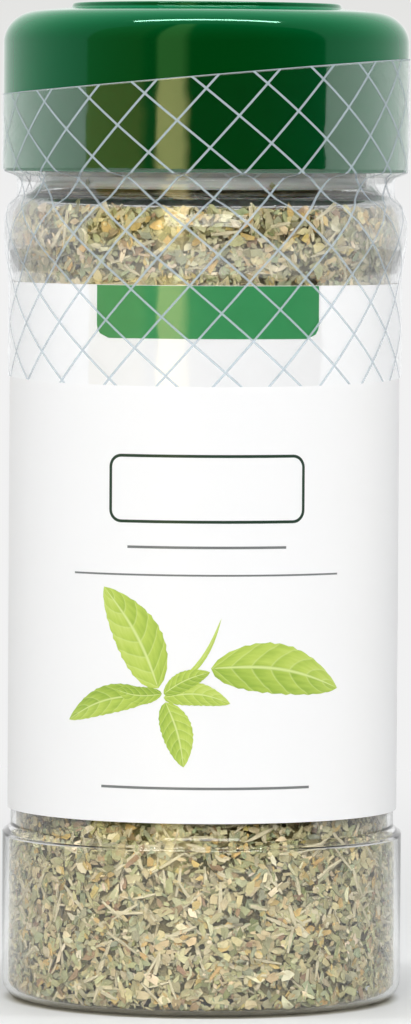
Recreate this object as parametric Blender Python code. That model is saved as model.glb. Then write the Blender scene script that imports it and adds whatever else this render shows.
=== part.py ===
"""A clear screw-top spice jar filled with dried basil leaf.

The jar is blow moulded: a foot, a label panel set back from it, a rounded bead, a shoulder and a threaded
neck. A sifter plug sits in the neck, a loose liner disc lies on it, and a smooth cap screws down over both.
A paper label wraps the panel and a clear shrink band covers the joint between cap and jar.

Metres, +Z up. The origin is the centre of the foot, on the surface that the jar stands on.
Run it with: blender --background --python part.py
"""

import math

import bmesh
import bpy

MM = 0.001
SIDES = 40  # flat sides round every turned piece
GAP = 0.25 * MM  # air left between two pieces that touch

# The jar, from its foot upwards
WALL = 0.6 * MM
FOOT_RADIUS = 22.05 * MM
HEEL_ROUND = 2.2 * MM
RECESS_RADIUS = 15.6 * MM  # the hollow under the foot, which takes another jar's cap
RECESS_DEPTH = 1.4 * MM
PANEL_RADIUS = 21.1 * MM
PANEL_BOTTOM = 19.5 * MM
PANEL_TOP = 80.0 * MM
STEP_HEIGHT = 1.5 * MM  # where the foot steps in to the panel
BEAD_RADIUS = 22.1 * MM
BEAD_BOTTOM = 84.3 * MM
BEAD_TOP = 84.9 * MM
SHOULDER_TOP = 88.85 * MM
SHOULDER_CENTRE = 19.6 * MM  # radius of the centre of the shoulder's rounding
NECK_RADIUS = 18.6 * MM
NECK_BOTTOM = 90.6 * MM
NECK_FILLET = 1.45 * MM
RIM_TOP = 105.1 * MM

# The screw thread, one start and right handed
PITCH = 4.0 * MM
THREAD_TURNS = 1.25
JAR_THREAD_BOTTOM = 95.9 * MM
RIDGE_BASE = 1.9 * MM
RIDGE_CREST = 0.9 * MM
RIDGE_ROOT = 0.4 * MM  # how deep a ridge is rooted in its wall
JAR_CREST_RADIUS = 19.75 * MM
CAP_CREST_RADIUS = 18.95 * MM
CAP_THREAD_DROP = 1.6 * MM  # the cap's ridge runs this far under the jar's ridge
RUN_OUT_STEPS = 4  # sides over which each end of a ridge fades out

# The cap
CAP_RADIUS = 22.3 * MM
CAP_BOTTOM = 91.2 * MM
CAP_TOP = 109.7 * MM
CAP_INSIDE_RADIUS = 20.1 * MM
CAP_INSIDE_TOP = 107.3 * MM
CAP_ROUND_CENTRE = (18.4 * MM, 105.3 * MM)
CAP_ROUND_WIDTH = 3.9 * MM
CAP_ROUND_HEIGHT = 3.5 * MM
DISC_RADIUS = 14.8 * MM  # the raised disc on top of the cap
DISC_FOOT = 109.15 * MM
EDGE = 0.3 * MM  # small moulded roundings

# The liner and the sifter, between the cap and the jar's rim
LINER_RADIUS = 19.0 * MM
LINER_THICKNESS = 0.8 * MM
FLANGE_RADIUS = 18.4 * MM
FLANGE_THICKNESS = 0.6 * MM
PLUG_LENGTH = 16.3 * MM  # its skirt shows as a pale band in the neck, under the cap
PLUG_WALL = 0.95 * MM
PLATE_THICKNESS = 0.9 * MM
HOLE_RADIUS = 3.2 * MM
HOLE_CIRCLE = 9.8 * MM
HOLES_ROUND = 6
HOLE_SIDES = 20

# The dried leaf, the label and the shrink band
FILL_TOP = 87.5 * MM
LABEL_BOTTOM = 21.1 * MM
LABEL_TOP = 79.1 * MM
LABEL_THICKNESS = 0.15 * MM
BAND_THICKNESS = 0.12 * MM
BAND_TOP = 101.7 * MM
BAND_TOP_TILT = 2.05 * MM  # the band was shrunk on crooked, higher on its +X side
BAND_BOTTOM = 68.8 * MM
BAND_BOTTOM_TILT = 0.6 * MM  # and lower at its front, -Y
BAND_WAIST = 21.0 * MM  # where it draws in between the cap and the shoulder
BAND_WAIST_HEIGHT = 90.4 * MM


def clear_scene():
    for obj in list(bpy.data.objects):
        bpy.data.objects.remove(obj)


def plastic(name, colour, roughness, alpha=1.0):
    material = bpy.data.materials.new(name)
    material.use_nodes = True
    shader = material.node_tree.nodes["Principled BSDF"]
    shader.inputs["Base Color"].default_value = (*colour, 1.0)
    shader.inputs["Roughness"].default_value = roughness
    shader.inputs["Alpha"].default_value = alpha
    return material


def arc(centre, width, height, start, end, steps):
    """Points on an ellipse's arc as (radius, height), from one angle in degrees to another."""
    turned = [math.radians(start + (end - start) * i / steps) for i in range(steps + 1)]
    return [(centre[0] + width * math.cos(a), centre[1] + height * math.sin(a)) for a in turned]


def swell(start, end, steps):
    """Points on an S-shaped curve between two (radius, height) points, upright at both ends."""
    points = []
    for i in range(steps + 1):
        share = i / steps
        ease = share * share * (3 - 2 * share)
        points.append((start[0] + (end[0] - start[0]) * ease, start[1] + (end[1] - start[1]) * share))
    return points


def inset(outline, depth):
    """The outline moved square to itself by depth, to the left of its direction of travel."""
    moved = []
    for i, (radius, height) in enumerate(outline):
        before = outline[max(i - 1, 0)]
        after = outline[min(i + 1, len(outline) - 1)]
        along = (after[0] - before[0], after[1] - before[1])
        length = math.hypot(*along)
        moved.append((radius - along[1] / length * depth, height + along[0] / length * depth))
    return moved


def add_object(name, mesh_data, material):
    mesh = bpy.data.meshes.new(name)
    bmesh.ops.recalc_face_normals(mesh_data, faces=mesh_data.faces)
    mesh_data.to_mesh(mesh)
    mesh_data.free()
    mesh.shade_smooth()
    mesh.set_sharp_from_angle(angle=math.radians(30))
    mesh.materials.append(material)
    obj = bpy.data.objects.new(name, mesh)
    bpy.context.scene.collection.objects.link(obj)
    return obj


def turned(name, outline, material, ring=False):
    """The solid that an outline of (radius, height) points makes when it is turned about Z.

    The outline starts and ends on the axis, or with ring set it closes on itself away from the axis.
    """
    data = bmesh.new()
    points = [data.verts.new((radius, 0.0, height)) for radius, height in outline]
    ends = points[1:] + points[:1] if ring else points[1:]
    edges = [data.edges.new(pair) for pair in zip(points, ends)]
    bmesh.ops.spin(
        data, geom=points + edges, axis=(0, 0, 1), cent=(0, 0, 0), angle=math.tau, steps=SIDES, use_merge=True
    )
    bmesh.ops.remove_doubles(data, verts=data.verts, dist=0.001 * MM)
    return add_object(name, data, material)


def tube_of_rings(data, rings, closed):
    """Faces between rings of equally many points, with both ends capped unless the rings close on themselves."""
    made = [[data.verts.new(point) for point in ring] for ring in rings]
    following = made[1:] + made[:1] if closed else made[1:]
    for near, far in zip(made, following):
        for i in range(len(near)):
            j = (i + 1) % len(near)
            data.faces.new((near[i], near[j], far[j], far[i]))
    if not closed:
        data.faces.new(made[0])
        data.faces.new(made[-1])


def thread_ridge(name, wall, crest, bottom, material):
    """A helical ridge for a Boolean, from inside the wall that it grows from out to its crest's radius."""
    steps = round(SIDES * THREAD_TURNS)
    root = wall - math.copysign(RIDGE_ROOT, crest - wall)
    sections = []
    for i in range(steps + 1):
        angle = math.tau * (i + 0.5) / SIDES
        middle = bottom + PITCH * i / SIDES
        fade = min(1.0, (min(i, steps - i) + 1) / RUN_OUT_STEPS)
        tip = wall + (crest - wall) * fade
        corners = (
            (root, -RIDGE_BASE / 2),
            (root, RIDGE_BASE / 2),
            (tip, RIDGE_CREST / 2),
            (tip, -RIDGE_CREST / 2),
        )
        sections.append(
            [(r * math.cos(angle), r * math.sin(angle), middle + rise) for r, rise in corners]
        )
    data = bmesh.new()
    tube_of_rings(data, sections, closed=False)
    return helper(add_object(name, data, material))


def helper(obj):
    obj.hide_render = True
    obj.display_type = "WIRE"
    return obj


def combine(obj, tool, operation):
    modifier = obj.modifiers.new(tool.name, "BOOLEAN")
    modifier.operation = operation
    modifier.solver = "EXACT"
    modifier.object = tool


def jar_outside():
    """The jar's outer outline, from the middle of its foot to the top of its neck."""
    ring_inner = RECESS_RADIUS + RECESS_DEPTH
    heel = (FOOT_RADIUS - HEEL_ROUND, HEEL_ROUND)
    return [
        (0.0, RECESS_DEPTH),
        (RECESS_RADIUS, RECESS_DEPTH),
        (ring_inner, 0.0),
        *arc(heel, HEEL_ROUND, HEEL_ROUND, -90, 0, 3),
        *swell((FOOT_RADIUS, PANEL_BOTTOM - STEP_HEIGHT), (PANEL_RADIUS, PANEL_BOTTOM), 2),
        *swell((PANEL_RADIUS, PANEL_TOP), (BEAD_RADIUS, BEAD_BOTTOM), 3),
        *arc((SHOULDER_CENTRE, BEAD_TOP), BEAD_RADIUS - SHOULDER_CENTRE, SHOULDER_TOP - BEAD_TOP, 0, 80, 4),
        *arc(
            (NECK_RADIUS + NECK_FILLET, NECK_BOTTOM), NECK_FILLET, NECK_BOTTOM - SHOULDER_TOP, 260, 180, 2
        ),
    ]


def make_jar(material):
    outside = jar_outside()
    inside = inset(outside, WALL)
    bore = NECK_RADIUS - WALL
    rim = [
        (NECK_RADIUS, RIM_TOP - EDGE),
        (NECK_RADIUS - EDGE, RIM_TOP),
        (bore + EDGE, RIM_TOP),
        (bore, RIM_TOP - EDGE),
    ]
    jar = turned("jar", outside + rim + inside[::-1], material)
    ridge = thread_ridge("jar_thread", NECK_RADIUS, JAR_CREST_RADIUS, JAR_THREAD_BOTTOM, material)
    combine(jar, ridge, "UNION")


def make_cap(material):
    outline = [
        (0.0, CAP_INSIDE_TOP),
        (CAP_INSIDE_RADIUS - 3 * EDGE, CAP_INSIDE_TOP),
        (CAP_INSIDE_RADIUS, CAP_INSIDE_TOP - 3 * EDGE),
        (CAP_INSIDE_RADIUS, CAP_BOTTOM + 2 * EDGE),
        (CAP_INSIDE_RADIUS + 2 * EDGE, CAP_BOTTOM),
        (CAP_RADIUS - EDGE, CAP_BOTTOM),
        (CAP_RADIUS, CAP_BOTTOM + EDGE),
        *arc(CAP_ROUND_CENTRE, CAP_ROUND_WIDTH, CAP_ROUND_HEIGHT, 0, 90, 5),
        (DISC_RADIUS, DISC_FOOT),
        (DISC_RADIUS, CAP_TOP - EDGE),
        (DISC_RADIUS - EDGE, CAP_TOP),
        (0.0, CAP_TOP),
    ]
    cap = turned("cap", outline, material)
    low = JAR_THREAD_BOTTOM - CAP_THREAD_DROP
    ridge = thread_ridge("cap_thread", CAP_INSIDE_RADIUS, CAP_CREST_RADIUS, low, material)
    combine(cap, ridge, "UNION")


def make_liner(material):
    top = CAP_INSIDE_TOP - GAP
    bottom = top - LINER_THICKNESS
    turned("cap_liner", [(0.0, bottom), (LINER_RADIUS, bottom), (LINER_RADIUS, top), (0.0, top)], material)


def make_sifter(material):
    """A plug with a flange that lies on the jar's rim, and a plate with one hole in the middle of a ring of six."""
    plug = NECK_RADIUS - WALL - GAP
    inner = plug - PLUG_WALL
    flange_bottom = RIM_TOP + GAP
    flange_top = flange_bottom + FLANGE_THICKNESS
    plug_bottom = flange_bottom - PLUG_LENGTH
    plate_bottom = flange_bottom - PLATE_THICKNESS
    outline = [
        (0.0, plate_bottom),
        (inner, plate_bottom),
        (inner, plug_bottom + EDGE),
        (inner + EDGE, plug_bottom),
        (plug - EDGE, plug_bottom),
        (plug, plug_bottom + EDGE),
        (plug, flange_bottom),
        (FLANGE_RADIUS, flange_bottom),
        (FLANGE_RADIUS, flange_top),
        (plug - EDGE, flange_top),
        (inner, flange_bottom),
        (0.0, flange_bottom),
    ]
    sifter = turned("sifter", outline, material)
    places = [(0.0, 0.0)]
    for i in range(HOLES_ROUND):
        angle = math.tau * i / HOLES_ROUND
        places.append((HOLE_CIRCLE * math.cos(angle), HOLE_CIRCLE * math.sin(angle)))
    for i, (x, y) in enumerate(places):
        bpy.ops.mesh.primitive_cylinder_add(
            vertices=HOLE_SIDES,
            radius=HOLE_RADIUS,
            depth=4 * PLATE_THICKNESS,
            location=(x, y, flange_bottom - PLATE_THICKNESS / 2),
        )
        hole = helper(bpy.context.object)
        hole.name = f"sifter_hole_{i}"
        combine(sifter, hole, "DIFFERENCE")


def make_fill(material):
    """The dried leaf, as one solid that follows the inside of the jar up to its level."""
    inside = inset(jar_outside(), WALL + GAP)
    under = [point for point in inside if point[1] < FILL_TOP]
    above = inside[len(under)]
    turned("basil_leaf_fill", [*under, (above[0], FILL_TOP), (0.0, FILL_TOP)], material)


def make_label(material):
    inner = PANEL_RADIUS + GAP
    outer = inner + LABEL_THICKNESS
    outline = [(inner, LABEL_BOTTOM), (outer, LABEL_BOTTOM), (outer, LABEL_TOP), (inner, LABEL_TOP)]
    turned("label", outline, material, ring=True)


def make_band(material):
    """The shrink band: it follows the label, the bead, the gap under the cap and the cap, with crooked ends."""
    over_label = PANEL_RADIUS + GAP + LABEL_THICKNESS + GAP
    over_bead = BEAD_RADIUS + GAP
    over_cap = CAP_RADIUS + GAP
    course = [
        *swell((over_label, LABEL_TOP), (over_bead, BEAD_BOTTOM - GAP), 2),
        *swell((over_bead, BEAD_TOP + GAP), (BAND_WAIST, BAND_WAIST_HEIGHT), 3),
        (over_cap, CAP_BOTTOM - GAP),
    ]
    rings = []
    for i in range(SIDES):
        angle = math.tau * i / SIDES
        low = BAND_BOTTOM + BAND_BOTTOM_TILT * math.sin(angle)
        high = BAND_TOP + BAND_TOP_TILT * math.cos(angle)
        inner = [(over_label, low), *course, (over_cap, high)]
        loop = inner + inset(inner, -BAND_THICKNESS)[::-1]
        rings.append([(r * math.cos(angle), r * math.sin(angle), z) for r, z in loop])
    data = bmesh.new()
    tube_of_rings(data, rings, closed=True)
    add_object("shrink_band", data, material)


def main():
    clear_scene()
    make_jar(plastic("clear_pet", (0.92, 0.94, 0.93), 0.05, alpha=0.3))
    make_cap(plastic("green_gloss", (0.01, 0.15, 0.05), 0.15))
    make_liner(plastic("liner_foam", (0.85, 0.85, 0.82), 0.8))
    make_sifter(plastic("natural_white", (0.8, 0.82, 0.8), 0.4))
    make_fill(plastic("dried_leaf", (0.3, 0.27, 0.14), 0.9))
    make_label(plastic("white_paper", (0.88, 0.88, 0.88), 0.5))
    make_band(plastic("clear_film", (0.9, 0.92, 0.93), 0.1, alpha=0.3))


main()
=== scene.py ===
"""The looks of a dried herb shaker jar: jar, screw cap, sifter, paper label, shrink band and leaf flakes.

Every size is in millimetres times MM, in the frame's own axes: +Z up, the label's front towards -Y.
"""

import math
import random

import bmesh
import bpy
import numpy as np
from mathutils import Euler, Matrix, Vector, noise


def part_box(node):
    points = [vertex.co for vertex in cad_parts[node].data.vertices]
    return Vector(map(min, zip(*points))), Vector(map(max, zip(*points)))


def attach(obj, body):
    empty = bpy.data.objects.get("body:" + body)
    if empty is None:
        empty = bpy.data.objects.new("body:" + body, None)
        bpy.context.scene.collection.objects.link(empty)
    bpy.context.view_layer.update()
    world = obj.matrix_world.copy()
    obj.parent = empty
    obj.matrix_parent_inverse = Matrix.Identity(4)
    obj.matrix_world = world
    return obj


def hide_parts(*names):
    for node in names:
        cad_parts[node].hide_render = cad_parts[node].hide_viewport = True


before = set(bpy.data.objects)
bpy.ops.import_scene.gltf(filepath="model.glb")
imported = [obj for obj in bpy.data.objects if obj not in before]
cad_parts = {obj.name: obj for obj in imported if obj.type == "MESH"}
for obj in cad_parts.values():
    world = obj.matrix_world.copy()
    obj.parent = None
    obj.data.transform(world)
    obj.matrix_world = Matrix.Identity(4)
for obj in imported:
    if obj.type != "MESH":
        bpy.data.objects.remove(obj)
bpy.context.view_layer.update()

MM = 0.001

# From the frame
FOOT_RADIUS = 22.05 * MM
RIM_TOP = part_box("jar")[1][2]
CAP_BOTTOM, CAP_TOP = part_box("cap")[0][2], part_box("cap")[1][2]
CAP_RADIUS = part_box("cap")[1][0]
LABEL_BOTTOM, LABEL_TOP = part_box("label")[0][2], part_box("label")[1][2]
LABEL_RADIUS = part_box("label")[1][0]
FILL_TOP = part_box("basil_leaf_fill")[1][2]
FLANGE_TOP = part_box("sifter")[1][2]
PLUG_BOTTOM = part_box("sifter")[0][2]
LINER_BOTTOM, LINER_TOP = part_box("cap_liner")[0][2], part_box("cap_liner")[1][2]
LINER_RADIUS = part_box("cap_liner")[1][0]

# The jar's own outline
WALL = 0.6 * MM
HEEL_ROUND = 2.2 * MM
RECESS_RADIUS = 15.6 * MM
RECESS_DEPTH = 1.4 * MM
RECESS_DOME = 0.35 * MM
PANEL_RADIUS = 21.15 * MM
PANEL_BOTTOM = 19.5 * MM
PANEL_TOP = 80.0 * MM
STEP_HEIGHT = 1.5 * MM
BEAD_RADIUS = 22.1 * MM
BEAD_BOTTOM = 84.3 * MM
BEAD_TOP = 84.9 * MM
SHOULDER_TOP = 88.85 * MM
SHOULDER_CENTRE = 19.6 * MM
NECK_RADIUS = 18.6 * MM
NECK_BOTTOM = 90.6 * MM
NECK_FILLET = 1.45 * MM

# The screw thread
PITCH = 4.0 * MM
THREAD_TURNS = 1.25
JAR_THREAD_BOTTOM = 95.9 * MM
JAR_CREST = 19.75 * MM
CAP_THREAD_BOTTOM = 94.3 * MM
CAP_CREST = 18.95 * MM
CAP_INSIDE = 20.1 * MM
CAP_INSIDE_TOP = 107.3 * MM
RIDGE_ROOT = 0.4 * MM

# The cap's shoulder, and the flange that the liner presses on
CAP_ROUND_CENTRE = (18.4 * MM, 105.3 * MM)
CAP_ROUND_HEIGHT = 3.5 * MM
DISC_RADIUS = 14.8 * MM
FLANGE_RADIUS = 18.4 * MM
PLUG_WALL = 0.95 * MM
HOLE_RADIUS = 3.2 * MM
HOLE_CIRCLE = 9.8 * MM

SIDES = 160


# ---------------------------------------------------------------- modelling helpers


def deselect():
    bpy.ops.object.select_all(action="DESELECT")


def edit(piece):
    deselect()
    piece.select_set(True)
    bpy.context.view_layer.objects.active = piece
    bpy.ops.object.mode_set(mode="EDIT")


def leave_edit():
    bpy.ops.object.mode_set(mode="OBJECT")


def settle(piece):
    """Moves the piece's place into its mesh, so that its object sits at the origin, unturned and unscaled."""
    deselect()
    piece.select_set(True)
    bpy.context.view_layer.objects.active = piece
    bpy.ops.object.transform_apply(location=True, rotation=True, scale=True)


def apply_modifiers(piece):
    bpy.context.view_layer.objects.active = piece
    for modifier in list(piece.modifiers):
        bpy.ops.object.modifier_apply(modifier=modifier.name)


def smooth(piece, degrees=35):
    deselect()
    piece.select_set(True)
    bpy.context.view_layer.objects.active = piece
    bpy.ops.object.shade_smooth_by_angle(angle=math.radians(degrees))


def arc(centre, width, height, start, end, steps):
    """Points on an ellipse's arc as (radius, height), from one angle in degrees to another."""
    angles = [math.radians(start + (end - start) * i / steps) for i in range(steps + 1)]
    return [(centre[0] + width * math.cos(a), centre[1] + height * math.sin(a)) for a in angles]


def swell(start, end, steps):
    """Points on an S-shaped curve between two (radius, height) points, upright at both ends."""
    points = []
    for i in range(steps + 1):
        share = i / steps
        ease = share * share * (3 - 2 * share)
        points.append((start[0] + (end[0] - start[0]) * ease, start[1] + (end[1] - start[1]) * share))
    return points


def inset(outline, depth):
    """The outline moved square to itself by depth, to the left of its direction of travel."""
    moved = []
    for i, (radius, height) in enumerate(outline):
        before = outline[max(i - 1, 0)]
        after = outline[min(i + 1, len(outline) - 1)]
        along = (after[0] - before[0], after[1] - before[1])
        length = math.hypot(*along)
        moved.append((radius - along[1] / length * depth, height + along[0] / length * depth))
    return moved


def turned(name, outline, sides=SIDES, ring=False):
    """Spins an outline of (radius, height) points about Z. It starts and ends on the axis, or else is a ring."""
    deselect()
    bpy.ops.mesh.primitive_circle_add(vertices=len(outline), radius=10 * MM)
    piece = bpy.context.object
    piece.name = name
    for vertex, (radius, height) in zip(piece.data.vertices, outline):
        vertex.co = (radius, 0.0, height)
    edit(piece)
    if not ring:
        shape = bmesh.from_edit_mesh(piece.data)
        shape.verts.ensure_lookup_table()
        closing = [e for e in shape.edges if {v.index for v in e.verts} == {0, len(outline) - 1}]
        bmesh.ops.delete(shape, geom=closing, context="EDGES_FACES")
        bmesh.update_edit_mesh(piece.data)
    bpy.ops.mesh.select_all(action="SELECT")
    bpy.ops.mesh.spin(steps=sides, angle=math.tau, center=(0, 0, 0), axis=(0, 0, 1))
    bpy.ops.mesh.select_all(action="SELECT")
    bpy.ops.mesh.remove_doubles(threshold=0.002 * MM)
    bpy.ops.mesh.normals_make_consistent(inside=False)
    leave_edit()
    settle(piece)
    smooth(piece)
    return piece


def boolean(piece, tool, operation):
    modifier = piece.modifiers.new(tool.name, "BOOLEAN")
    modifier.operation = operation
    modifier.solver = "EXACT"
    modifier.object = tool
    apply_modifiers(piece)
    bpy.data.objects.remove(tool)


def thread_ridge(name, wall, crest, bottom):
    """One start of right-handed thread, grown out of its wall, as a closed ridge ready to be joined on."""
    steps = round(SIDES * THREAD_TURNS)
    root = wall - math.copysign(RIDGE_ROOT, crest - wall)
    deselect()
    bpy.ops.mesh.primitive_plane_add(size=MM)
    ridge = bpy.context.object
    ridge.name = name
    shape = bmesh.new()
    rings = []
    for i in range(steps + 1):
        angle = math.tau * (i + 0.5) / SIDES
        middle = bottom + PITCH * i / SIDES
        fade = min(1.0, (min(i, steps - i) + 1) / (SIDES / 12))
        tip = wall + (crest - wall) * math.sin(fade * math.pi / 2)
        corners = ((root, -0.95), (root, 0.95), (tip, 0.45), (tip, -0.45))
        rings.append(
            [
                shape.verts.new((r * math.cos(angle), r * math.sin(angle), middle + rise * MM))
                for r, rise in corners
            ]
        )
    for near, far in zip(rings, rings[1:]):
        for j in range(4):
            k = (j + 1) % 4
            shape.faces.new((near[j], near[k], far[k], far[j]))
    shape.faces.new(rings[0])
    shape.faces.new(rings[-1])
    bmesh.ops.recalc_face_normals(shape, faces=shape.faces)
    shape.to_mesh(ridge.data)
    shape.free()
    return ridge


def polar(angle, radius):
    """The point at an angle round from the front, -Y, towards +X."""
    return radius * math.sin(angle), -radius * math.cos(angle)


def finish_piece(piece, material, body, slot, *nodes):
    piece.data.materials.clear()
    piece.data.materials.append(material)
    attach(piece, body)
    if nodes:
        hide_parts(*nodes)
    return piece


# ---------------------------------------------------------------- material helpers


def start_material(name, **values):
    """A new material, its node tree and its Principled shader, with plain values set on its sockets."""
    material = bpy.data.materials.new(name)
    material.use_nodes = True
    shader = material.node_tree.nodes["Principled BSDF"]
    for socket, value in values.items():
        shader.inputs[socket.replace("_", " ")].default_value = value
    return material, material.node_tree, shader


def add_node(tree, kind, inputs=None, **settings):
    """Adds a node, with its inputs linked where a socket is given and set where a value is given."""
    made = tree.nodes.new("ShaderNode" + kind)
    for name, value in settings.items():
        setattr(made, name, value)
    for socket, value in (inputs or {}).items():
        if isinstance(value, bpy.types.NodeSocket):
            tree.links.new(value, made.inputs[socket])
        else:
            made.inputs[socket].default_value = value
    return made


def math_node(tree, operation, first, second=0.0, third=0.0):
    return add_node(tree, "Math", {0: first, 1: second, 2: third}, operation=operation).outputs[0]


def mix_colour(tree, factor, first, second, blend="MIX"):
    mixed = add_node(tree, "Mix", {0: factor, 6: first, 7: second}, data_type="RGBA", blend_type=blend)
    return mixed.outputs[2]


def ramp(tree, factor, *stops):
    """A colour ramp through (position, colour) stops."""
    made = add_node(tree, "ValToRGB", {"Fac": factor})
    points = made.color_ramp.elements
    while len(points) < len(stops):
        points.new(0.5)
    for point, (position, colour) in zip(points, stops):
        point.position = position
        point.color = (*colour, 1.0)
    return made.outputs["Color"]


def grain_group():
    """Fine uneven grain for moulded, foamed and paper surfaces: a patchy value and a height for a bump."""
    tree = bpy.data.node_groups.new("fine_grain", "ShaderNodeTree")
    socket = tree.interface.new_socket
    socket("Vector", in_out="INPUT", socket_type="NodeSocketVector")
    for name, value in (("Patch Scale", 60.0), ("Grain Scale", 1500.0), ("Grain Depth", 0.3)):
        socket(name, in_out="INPUT", socket_type="NodeSocketFloat").default_value = value
    socket("Patches", in_out="OUTPUT", socket_type="NodeSocketFloat")
    socket("Height", in_out="OUTPUT", socket_type="NodeSocketFloat")
    inside = tree.nodes.new("NodeGroupInput").outputs
    outside = tree.nodes.new("NodeGroupOutput").inputs
    patches = add_node(
        tree, "TexNoise", {"Vector": inside["Vector"], "Scale": inside["Patch Scale"], "Detail": 4.0}
    ).outputs["Fac"]
    fine = add_node(
        tree, "TexNoise", {"Vector": inside["Vector"], "Scale": inside["Grain Scale"], "Detail": 3.0}
    ).outputs["Fac"]
    height = math_node(tree, "MULTIPLY_ADD", fine, inside["Grain Depth"], patches)
    tree.links.new(patches, outside["Patches"])
    tree.links.new(height, outside["Height"])
    return tree


GRAIN = grain_group()


def add_grain(tree, patch_scale, grain_scale, grain_depth):
    place = add_node(tree, "TexCoord").outputs["Object"]
    values = {
        "Vector": place,
        "Patch Scale": patch_scale,
        "Grain Scale": grain_scale,
        "Grain Depth": grain_depth,
    }
    made = tree.nodes.new("ShaderNodeGroup")
    made.node_tree = GRAIN
    for socket, value in values.items():
        if isinstance(value, bpy.types.NodeSocket):
            tree.links.new(value, made.inputs[socket])
        else:
            made.inputs[socket].default_value = value
    return made.outputs["Patches"], made.outputs["Height"]


def add_bump(tree, shader, height, strength, distance):
    bump = add_node(tree, "Bump", {"Height": height, "Strength": strength, "Distance": distance})
    tree.links.new(bump.outputs["Normal"], shader.inputs["Normal"])


def let_lamps_through(tree, shader, tint):
    """Shadows pass through the material, tinted, so that lamps light what lies behind it."""
    is_shadow = add_node(tree, "LightPath").outputs["Is Shadow Ray"]
    through = add_node(tree, "BsdfTransparent", {"Color": tint})
    mixed = add_node(tree, "MixShader", {0: is_shadow, 1: shader.outputs[0], 2: through.outputs[0]})
    tree.links.new(mixed.outputs[0], tree.nodes["Material Output"].inputs["Surface"])


def spread(tree, value, low, high):
    """A 0 to 1 value stretched over low to high."""
    made = add_node(tree, "MapRange", {"Value": value, "To Min": low, "To Max": high})
    return made.outputs["Result"]


# ---------------------------------------------------------------- materials


def green_gloss():
    material, tree, shader = start_material(
        "green_gloss_moulding", IOR=1.5, Specular_IOR_Level=0.33, Specular_Tint=(0.3, 1.0, 0.66, 1)
    )
    patches, height = add_grain(tree, 70.0, 900.0, 0.06)
    body = mix_colour(tree, patches, (0.0002, 0.034, 0.0035, 1), (0.0003, 0.042, 0.005, 1))
    # Towards its edges, where the view grazes, the base colour turns a lighter green: a painted reflection of
    # the bright surroundings
    edge = math_node(tree, "POWER", add_node(tree, "LayerWeight", {"Blend": 0.5}).outputs["Facing"], 1.4)
    colour = mix_colour(tree, edge, body, (0.0003, 0.22, 0.09, 1))
    tree.links.new(colour, shader.inputs["Base Color"])
    tree.links.new(spread(tree, patches, 0.05, 0.10), shader.inputs["Roughness"])
    add_bump(tree, shader, height, 0.10, 0.02 * MM)
    return material


def clear_pet():
    material, tree, shader = start_material(
        "clear_blown_pet", Base_Color=(0.97, 0.98, 0.975, 1), Roughness=0.0, IOR=1.55, Transmission_Weight=1.0
    )
    _, height = add_grain(tree, 90.0, 400.0, 0.1)
    add_bump(tree, shader, height, 0.05, 0.02 * MM)
    let_lamps_through(tree, shader, (0.94, 0.95, 0.945, 1))
    return material


def liner_foam():
    material, tree, shader = start_material("liner_foam", Roughness=0.75)
    patches, height = add_grain(tree, 300.0, 3000.0, 0.8)
    tree.links.new(mix_colour(tree, patches, (0.72, 0.71, 0.67, 1), (0.84, 0.84, 0.81, 1)), shader.inputs[0])
    add_bump(tree, shader, height, 0.4, 0.05 * MM)
    return material


def natural_white():
    material, tree, shader = start_material(
        "milky_moulding", Subsurface_Weight=0.2, Subsurface_Scale=0.5 * MM
    )
    patches, height = add_grain(tree, 150.0, 1200.0, 0.2)
    tree.links.new(mix_colour(tree, patches, (0.75, 0.77, 0.74, 1), (0.82, 0.83, 0.81, 1)), shader.inputs[0])
    tree.links.new(spread(tree, patches, 0.3, 0.45), shader.inputs["Roughness"])
    add_bump(tree, shader, height, 0.15, 0.03 * MM)
    return material


def label_paper():
    material, tree, shader = start_material("coated_paper", Roughness=0.4)
    patches, height = add_grain(tree, 35.0, 2500.0, 0.5)
    colour = mix_colour(tree, patches, (0.845, 0.845, 0.85, 1), (0.875, 0.875, 0.88, 1))
    tree.links.new(colour, shader.inputs["Base Color"])
    tree.links.new(spread(tree, patches, 0.36, 0.46), shader.inputs["Roughness"])
    add_bump(tree, shader, height, 0.08, 0.02 * MM)
    return material


def flat_ink(name, colour):
    """A solid printed colour with the slight mottle of ink on paper."""
    material, tree, shader = start_material(name, Roughness=0.35)
    patches, height = add_grain(tree, 500.0, 2500.0, 0.4)
    light = (*[min(1.0, value * 1.12 + 0.003) for value in colour], 1)
    tree.links.new(mix_colour(tree, patches, (*colour, 1), light), shader.inputs["Base Color"])
    add_bump(tree, shader, height, 0.06, 0.02 * MM)
    return material


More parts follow.
